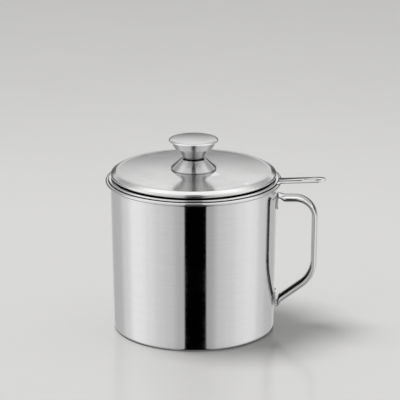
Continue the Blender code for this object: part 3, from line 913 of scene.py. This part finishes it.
class CONTAINER_OT_tab(bpy.types.Operator):
    """Cut the lifting tab: a round-ended plate with a slot, welded edge to edge to the flange"""
    bl_idname = "container.tab"
    bl_label = "Lifting Tab"

    def execute(self, context):
        root = RIM_HIGH.x + CLEARANCE
        mesh_data = flat_plate(tab_outlines(root), TAB_THICKNESS, TAB_EDGE)
        place = Matrix.Rotation(TAB_AZIMUTH, 4, "Z")
        place @= Matrix.Translation((root, 0, RIM_HIGH.z - HEM_HEIGHT))
        place @= Matrix.Rotation(-TAB_RISE, 4, "Y")
        bmesh.ops.transform(mesh_data, matrix=place, verts=mesh_data.verts)
        place_piece("lifting_tab", mesh_data, [strap_steel()], "strainer", "polished_steel", "strainer_tab")
        return {"FINISHED"}


# Lid

LID_SHOULDER_RISE = 3.8 * MM
LID_EDGE_BEND = 1.7 * MM
LID_EDGE_TUCK = 1.9 * MM
CREASE_INSET = 4 * MM
CREASE_RISE = 5.13 * MM
CREASE_BEND = 1.6 * MM
PANEL_INSET = 6.5 * MM
PANEL_RISE = 5.12 * MM
PANEL_BEND = 3 * MM
# Where the panel starts down to the knob's seat
DIP_RADIUS = 22.5 * MM
DIP_BEND = 5 * MM
SEAT_RADIUS = 18.8 * MM
SEAT_BEND = 1.5 * MM
SCREW_HOLE = 2.7 * MM


def lid_path(sizes):
    """Upper face of the lid, from its tucked-in edge over the crowned panel to the screw hole."""
    outer, foot = LID_HIGH.x, LID_LOW.z
    seat = CONE_LOW.z - CLEARANCE
    bend_middle = (outer - LID_EDGE_BEND, foot + LID_SHOULDER_RISE - LID_EDGE_BEND)
    path = [(outer - LID_EDGE_TUCK, foot)]
    path += arc(bend_middle, LID_EDGE_BEND, -40, 60, 16)
    panel = outer - PANEL_INSET
    crowned = []
    for radius in spaced(panel, DIP_RADIUS, 16):
        rise = PANEL_RISE + sizes.lid_crown * (1 - (radius / panel) ** 2)
        bend = {panel: PANEL_BEND, DIP_RADIUS: DIP_BEND}.get(radius, 0)
        crowned.append((radius, foot + rise, bend))
    corners = [(*path[-1], 0), (outer - CREASE_INSET, foot + CREASE_RISE, CREASE_BEND), *crowned,
               (SEAT_RADIUS, seat, SEAT_BEND), (SCREW_HOLE, seat, 0)]
    return path + filleted(corners, 10)[1:]


class CONTAINER_OT_lid(bpy.types.Operator):
    """Press the lid: a slightly crowned panel, a creased shoulder and a tucked edge"""
    bl_idname = "container.lid"
    bl_label = "Lid"

    def execute(self, context):
        sizes = context.scene.container_sizes
        outline = sheet_outline(lid_path(sizes), -sizes.sheet)
        place_piece("lid_pressing", turned(outline, sizes.turn_steps), [lid_steel()], "lid",
                    "polished_steel", "lid_shell")
        return {"FINISHED"}


# Knob

KNOB_SHEET = 0.8 * MM
KNOB_NECK = 7.65 * MM
NECK_BEND = 0.5 * MM
CONE_TOP = 9.75 * MM
CONE_LIP = 0.9 * MM
CONE_LIP_BEND = 0.6 * MM
CONE_TOP_BEND = 0.7 * MM
# Points of the stem's curve, from its neck out to its mouth and from its foot up
FLARE_SHARES = (0.06, 0.24, 0.46, 0.76, 1)
LIFT_SHARES = (0.05, 0.26, 0.44, 0.66, 1)
MOUTH_INSET = 0.8 * MM
CAP_EDGE = 0.55 * MM
CAP_LIP_CUT = 0.2 * MM
CAP_SHOULDER = 2.6 * MM
CAP_DOME = 0.3 * MM
# Shares of the dome's radius where its inner and its outer face end
DOME_INSIDE_SHARE = 0.96
DOME_OUTSIDE_SHARE = 0.99


class CONTAINER_OT_knob(bpy.types.Operator):
    """Turn the knob: a cone foot, a trumpet stem and a shallow domed cap"""
    bl_idname = "container.knob"
    bl_label = "Knob"

    def execute(self, context):
        steps = context.scene.container_sizes.turn_steps // 2
        self.make_cone(steps)
        self.make_trumpet(steps)
        self.make_cap(steps)
        return {"FINISHED"}

    def make_cone(self, steps):
        """Cone with a short upright lip at its foot."""
        base, top, foot = CONE_LOW.z, CONE_HIGH.z, CONE_HIGH.x
        path = filleted([(foot, base, 0), (foot, base + CONE_LIP, CONE_LIP_BEND),
                         (CONE_TOP, top, CONE_TOP_BEND), (SCREW_HOLE, top, 0)], 8)
        place_piece("knob_cone", turned(sheet_outline(path, -KNOB_SHEET), steps), [knob_steel()], "lid",
                    "polished_steel", "knob_base")

    def make_trumpet(self, steps):
        """Stem that flares from the neck to a mouth under the cap."""
        base, top = STEM_LOW.z, STEM_HIGH.z
        reach = STEM_HIGH.x - MOUTH_INSET - KNOB_NECK
        flare = [(KNOB_NECK + reach * out, base + (top - base) * up)
                 for out, up in zip(FLARE_SHARES, LIFT_SHARES)]
        path = filleted([(SCREW_HOLE, base, 0), (KNOB_NECK, base, NECK_BEND), (*flare[0], 0)], 6)[:-1]
        path += smooth_curve(flare, 8)
        place_piece("knob_trumpet", turned(sheet_outline(path, -KNOB_SHEET), steps), [knob_steel()], "lid",
                    "polished_steel", "knob_stem")

    def make_cap(self, steps):
        """Cap with a wide rounded shoulder and a low dome."""
        top, outer = CAP_HIGH.z, CAP_HIGH.x
        base = CAP_LOW.z
        edge = base + CAP_EDGE
        dome = outer - CAP_SHOULDER
        inner = outer - CAP_EDGE - KNOB_SHEET
        outline = [(dome * t, top - KNOB_SHEET - CAP_DOME * t * t)
                   for t in spaced(0, DOME_INSIDE_SHARE, 14)]
        outline += [(inner, edge), (inner, base + CAP_LIP_CUT), (inner + CAP_LIP_CUT, base)]
        outline += arc((outer - CAP_EDGE, edge), CAP_EDGE, -90, 0, 8)
        outline += arc((dome, edge), CAP_SHOULDER, 0, 84, 14, rise=top - CAP_DOME - edge)[1:]
        outline += [(dome * t, top - CAP_DOME * t * t) for t in spaced(DOME_OUTSIDE_SHARE, 0, 24)]
        place_piece("knob_top", turned(outline, steps), [cap_steel()], "lid", "polished_steel", "knob_cap")


# Screw, washers and threaded boss

FIXING_STEPS = 96
FIXING_EDGE = 0.25 * MM
HEAD_HEIGHT = 2.8 * MM
HEAD_BEND = 1.6 * MM
HEAD_BEVEL = 0.1 * MM
HEAD_CROWN = 0.02 * MM
HEAD_FLAT_SHARE = 0.4
SLOT_WIDTH = 1 * MM
SLOT_DEPTH = 1.2 * MM
SHANK_CORE = 1.85 * MM
SHANK_ROOT = 0.2 * MM
THREAD_DEPTH = 0.35 * MM
SPLIT_EDGE = 0.12 * MM
SPLIT_GAP = 0.8 * MM
SPLIT_SPRING = 0.15 * MM


def round_place(radius, angle, height):
    """Point at a radius and an angle round the pot's axis."""
    return radius * math.cos(angle), radius * math.sin(angle), height


def thread_rings(pitch, bottom, top, around=48, rises=6):
    """Rings of a threaded shank that fades out at both ends."""
    rings = []
    for height in spaced(bottom, top, int((top - bottom) / pitch * rises)):
        fade = min(1, (top - height) / pitch, (height - bottom) / pitch)
        ring = []
        for turn in spaced(0, 1, around)[:-1]:
            ridge = 1 - abs(2 * ((height / pitch - turn) % 1) - 1)
            ring.append(round_place(SHANK_CORE + THREAD_DEPTH * fade * ridge, turn * math.tau, height))
        rings.append(ring)
    return rings


def subtract_box(mesh_data, size, centre):
    """The mesh with a box cut away."""
    bmesh.ops.recalc_face_normals(mesh_data, faces=mesh_data.faces)
    block = bmesh.new()
    bmesh.ops.create_cube(block, size=1, matrix=Matrix.Translation(centre) @ Matrix.Diagonal((*size, 1)))
    holders = [add_mesh("cut", part) for part in (mesh_data, block)]
    boolean = holders[0].modifiers.new("cut", "BOOLEAN")
    boolean.object = holders[1]
    result = bmesh.new()
    result.from_object(holders[0], bpy.context.evaluated_depsgraph_get())
    for holder in holders:
        bpy.data.objects.remove(holder)
    return result


class CONTAINER_OT_fixing(bpy.types.Operator):
    """Make what holds the knob: boss, slotted screw, split washer and plain washer"""
    bl_idname = "container.fixing"
    bl_label = "Knob Fixing"

    def execute(self, context):
        self.make_boss()
        self.make_screw(context.scene.container_sizes.thread_pitch)
        self.make_plain_washer()
        self.make_split_washer()
        return {"FINISHED"}

    def place_plain(self, name, mesh_data, node):
        """Put a piece of plain steel on the lid."""
        place_piece(name, mesh_data, [wire_steel()], "lid", "plain_steel", node)

    def make_boss(self):
        """Threaded boss with bevelled ends and a groove round its middle."""
        low, high, edge = BOSS_LOW.z, BOSS_HIGH.z, FIXING_EDGE
        outer, inner = BOSS_HIGH.x, BOSS_HIGH.x - FIXING_EDGE
        groove = (low + high) / 2
        outline = filleted([(SCREW_HOLE, low, 0), (inner, low, 0), (outer, low + edge, 0),
                            (outer, groove - 2 * edge, 0), (inner, groove, edge),
                            (outer, groove + 2 * edge, 0), (outer, high - edge, 0), (inner, high, 0),
                            (SCREW_HOLE, high, 0)], 4)
        self.place_plain("threaded_boss", turned(outline, FIXING_STEPS), "knob_insert")

    def make_plain_washer(self):
        """Flat washer with a rounded outer edge."""
        low, high, outer = PLAIN_LOW.z, PLAIN_HIGH.z, PLAIN_HIGH.x
        outline = filleted([(SCREW_HOLE, low, 0), (outer, low, FIXING_EDGE), (outer, high, FIXING_EDGE),
                            (SCREW_HOLE, high, 0)], 4)
        self.place_plain("plain_washer", turned(outline, FIXING_STEPS), "flat_washer")

    def make_screw(self, pitch):
        """Pan-head screw: threaded shank and a domed head with a slot."""
        foot, radius = SCREW_LOW.z, SCREW_HIGH.x
        head_top = foot + HEAD_HEIGHT
        outline = [(0, head_top), (radius - HEAD_BEVEL, head_top), (radius, head_top - HEAD_BEVEL)]
        outline += arc((radius - HEAD_BEND, foot + HEAD_BEND), HEAD_BEND, 0, -70, 10)
        outline += [(radius * HEAD_FLAT_SHARE, foot + HEAD_CROWN), (0, foot)]
        slot = (4 * radius, SLOT_WIDTH, 2 * SLOT_DEPTH)
        head = subtract_box(turned(outline, FIXING_STEPS), slot, (0, 0, foot))
        swept(thread_rings(pitch, head_top - SHANK_ROOT, SCREW_HIGH.z), into=head)
        self.place_plain("slotted_screw", head, "knob_screw")

    def make_split_washer(self):
        """Square-section washer, split and sprung a little out of flat."""
        half_gap = math.asin(SPLIT_GAP / 2 / SCREW_HOLE)
        low, high = SPLIT_LOW, SPLIT_HIGH
        section = ring_outline(SCREW_HOLE, high.x, low.z, high.z - SPLIT_SPRING, SPLIT_EDGE, 3)
        rings = []
        for share in spaced(0, 1, 72):
            angle = half_gap + (math.tau - 2 * half_gap) * share
            rings.append([round_place(radius, angle, up + SPLIT_SPRING * share) for radius, up in section])
        self.place_plain("split_washer", swept(rings), "lock_washer")


# Stage

# Brightness at azimuths from the camera's side, + towards the handle; one full turn
SIDE_BANDS = [(-180, 0.78), (-150, 0.57), (-129, 0.62), (-110, 0.86), (-92, 1.12), (-80, 1.10), (-65, 0.98),
              (-49, 0.84), (-34, 0.75), (-19, 0.58), (0, 0.5), (23, 0.52), (38, 0.76), (53, 0.85),
              (69, 0.98), (84, 1.05), (95, 1.02), (109, 0.82), (130, 0.66), (147, 0.61), (165, 0.66),
              (180, 0.78)]
# Share of the dark gap in the light at rises above the horizon
GAP_HEIGHTS = [(-90, 1), (5, 1), (12, 0), (24, 0), (30, 1), (74, 1), (83, 0), (90, 0)]
# Brightness at rises above the horizon, away from the camera and towards it
BACK_HEIGHTS = [(-90, 0.4), (-45, 0.5), (-30, 0.7), (-23, 0.92), (-13, 0.92), (-7, 0.45), (0, 0.25), (9, 0.1),
                (12, 0.1), (13.8, 0.25), (15.4, 0.75), (16.4, 1.2), (17.4, 1.42), (18.8, 1.3), (20.5, 1.2),
                (24, 0.9), (30, 0.68), (40, 0.68), (50, 1.1), (58, 1.35), (72, 1.15), (90, 0.97)]
FRONT_HEIGHTS = [(-90, 0.4), (-60, 0.5), (-40, 0.65), (-30, 0.8), (-22, 0.9), (-17, 0.93), (-12, 1.0),
                 (0, 1.0), (40, 0.97), (90, 0.97)]
OVERHEAD = 0.95
# Parts of a unit direction: where the back's light takes over from the front's, and overhead from the sides
BACK_Y = (-0.1, 0.35)
OVERHEAD_Z = (0.45, 0.9)
# The same for the dark gap: its sides, x, at its lower and upper z, its fade and its end at the back
GAP_Z = (-0.29, 0.98)
GAP_LEFT = (-0.205, -0.125)
GAP_RIGHT = (0.285, 0.125)
GAP_SOFTNESS = 0.01
GAP_END_Y = (-0.1, 0.0)

FLOOR_REACH = 12
# The floor lies this far under the pot, so that their faces don't meet
FLOOR_DROP = 0.1 * MM
FLOOR_MOTTLE = 0.985
FLOOR_ROUGHNESS = 0.16
FLOOR_SHEEN = 0.35
LAMP_PLACE = (-0.68, 0.2, 2.1)
LAMP_SPREAD = math.radians(25)


def sky_value(tree, direction):
    """Brightness of the studio round the container, by direction alone."""
    x, y, z = add_node(tree, "SeparateXYZ", direction)
    around = maths(tree, "ARCTAN2", x, product(tree, y, -1.0))
    azimuth = total(tree, maths(tree, "DIVIDE", around, math.tau), 0.5)
    height = total(tree, maths(tree, "DIVIDE", maths(tree, "ARCSINE", z), math.pi), 0.5)
    front, back, dark = [ramp(tree, height, stops) for stops in (FRONT_HEIGHTS, BACK_HEIGHTS, GAP_HEIGHTS)]
    level = remap(tree, y, *BACK_Y, front, back)
    side = remap(tree, z, *OVERHEAD_Z, ramp(tree, azimuth, SIDE_BANDS), OVERHEAD)
    left = remap(tree, z, *GAP_Z, *GAP_LEFT, smooth=False)
    right = remap(tree, z, *GAP_Z, *GAP_RIGHT, smooth=False)
    inside = [remap(tree, maths(tree, "SUBTRACT", far, near), -GAP_SOFTNESS, GAP_SOFTNESS)
              for near, far in ((left, x), (x, right))]
    gap = product(tree, *inside, remap(tree, y, *GAP_END_Y, 1.0, 0.0), dark)
    return product(tree, side, level, maths(tree, "SUBTRACT", 1.0, gap))


def worktop_look(colour):
    """Pale, faintly mottled worktop with a soft sheen, clear when seen from below."""
    material, tree, shader = new_material("pale_worktop")
    mottle = noise(tree, combine(tree, *object_axes(tree)), detail=3, roughness=0.6, scale=9.0)
    shade = remap(tree, mottle, *LINE_RANGE, FLOOR_MOTTLE, 1.0)
    feed(tree, shader.inputs["Base Color"], tinted(tree, colour, shade))
    shader.inputs["Roughness"].default_value = FLOOR_ROUGHNESS
    shader.inputs["Specular IOR Level"].default_value = FLOOR_SHEEN
    from_below = add_node(tree, "NewGeometry")["Backfacing"]
    clear = add_node(tree, "BsdfTransparent")[0]
    surface = add_node(tree, "MixShader", from_below, shader.outputs[0], clear)[0]
    feed(tree, tree.nodes["Material Output"].inputs["Surface"], surface)
    return material


class CONTAINER_OT_stage(bpy.types.Operator):
    """Lay the pale floor, hang the soft light and set the camera"""
    bl_idname = "container.stage"
    bl_label = "Stage"

    def execute(self, context):
        stage = context.scene.container_stage
        self.lay_floor(stage)
        self.light_world(context.scene, stage)
        self.hang_lamp(stage)
        self.set_camera(context.scene, stage)
        context.scene.view_settings.view_transform = "Standard"
        return {"FINISHED"}

    def lay_floor(self, stage):
        """Worktop that the steel doesn't mirror."""
        mesh_data = bmesh.new()
        bmesh.ops.create_grid(mesh_data, x_segments=8, y_segments=8, size=FLOOR_REACH)
        floor = add_mesh("worktop", mesh_data)
        floor.data.materials.append(worktop_look(stage.floor_colour))
        floor.location.z = -FLOOR_DROP
        floor.visible_glossy = False

    def light_world(self, scene, stage):
        """Soft studio all round, and a plain pale background for the camera."""
        world = bpy.data.worlds.new("studio")
        scene.world = world
        world.use_nodes = True
        tree = world.node_tree
        tree.nodes.clear()
        sky = sky_value(tree, add_node(tree, "TexCoord")["Generated"])
        studio = add_node(tree, "Background", (1, 1, 1, 1), sky)[0]
        backdrop = add_node(tree, "Background", (*stage.background, 1))[0]
        seen = add_node(tree, "LightPath")["Is Camera Ray"]
        add_node(tree, "OutputWorld", add_node(tree, "MixShader", seen, studio, backdrop)[0])

    def hang_lamp(self, stage):
        """One broad soft light, far up on the left, that the steel doesn't mirror."""
        lamp = bpy.data.lights.new("left_light", "SUN")
        lamp.angle = LAMP_SPREAD
        lamp.energy = stage.lamp_power
        holder = add_object("left_light", lamp)
        holder.location = LAMP_PLACE
        holder.rotation_euler = (-holder.location).to_track_quat("-Z", "Y").to_euler()
        holder.visible_glossy = False

    def set_camera(self, scene, stage):
        """Camera at the photographed angle."""
        data = bpy.data.cameras.new("view")
        data.lens = stage.view_lens
        camera = add_object("view", data)
        back = Vector((0, -math.cos(stage.view_pitch), math.sin(stage.view_pitch)))
        camera.location = Vector(stage.view_target) + back * stage.view_distance
        camera.rotation_euler = (math.pi / 2 - stage.view_pitch, 0, 0)
        scene.camera = camera


# Add-on

OPERATORS = [CONTAINER_OT_stage, CONTAINER_OT_pot, CONTAINER_OT_strap, CONTAINER_OT_strainer_ring,
             CONTAINER_OT_cloth, CONTAINER_OT_tab, CONTAINER_OT_lid, CONTAINER_OT_knob, CONTAINER_OT_fixing]

SETTINGS = {
    "container_sizes": ContainerSizes,
    "container_finish": ContainerFinish,
    "container_stage": ContainerStage,
}


class CONTAINER_PT_panel(bpy.types.Panel):
    """Sidebar panel with the container's sizes, finishes and pieces"""
    bl_label = "Grease Container"
    bl_idname = "CONTAINER_PT_panel"
    bl_space_type = "VIEW_3D"
    bl_region_type = "UI"
    bl_category = "Container"

    def draw(self, context):
        for setting in SETTINGS:
            group = getattr(context.scene, setting)
            column = self.layout.column(align=True)
            for name in group.bl_rna.properties.keys():
                if name not in {"rna_type", "name"}:
                    column.prop(group, name)
        for operator in OPERATORS:
            self.layout.operator(operator.bl_idname)


CLASSES = [*SETTINGS.values(), *OPERATORS, CONTAINER_PT_panel]


def register():
    for each in CLASSES:
        bpy.utils.register_class(each)
    for name, group in SETTINGS.items():
        setattr(bpy.types.Scene, name, PointerProperty(type=group))


def unregister():
    for name in SETTINGS:
        delattr(bpy.types.Scene, name)
    for each in reversed(CLASSES):
        bpy.utils.unregister_class(each)


def main():
    """Make the stage and every piece."""
    register()
    bpy.ops.container.stage()
    bpy.ops.container.pot()
    bpy.ops.container.strap()
    bpy.ops.container.strainer_ring()
    bpy.ops.container.cloth()
    bpy.ops.container.tab()
    bpy.ops.container.lid()
    bpy.ops.container.knob()
    bpy.ops.container.fixing()


if __name__ == "__main__":
    main()
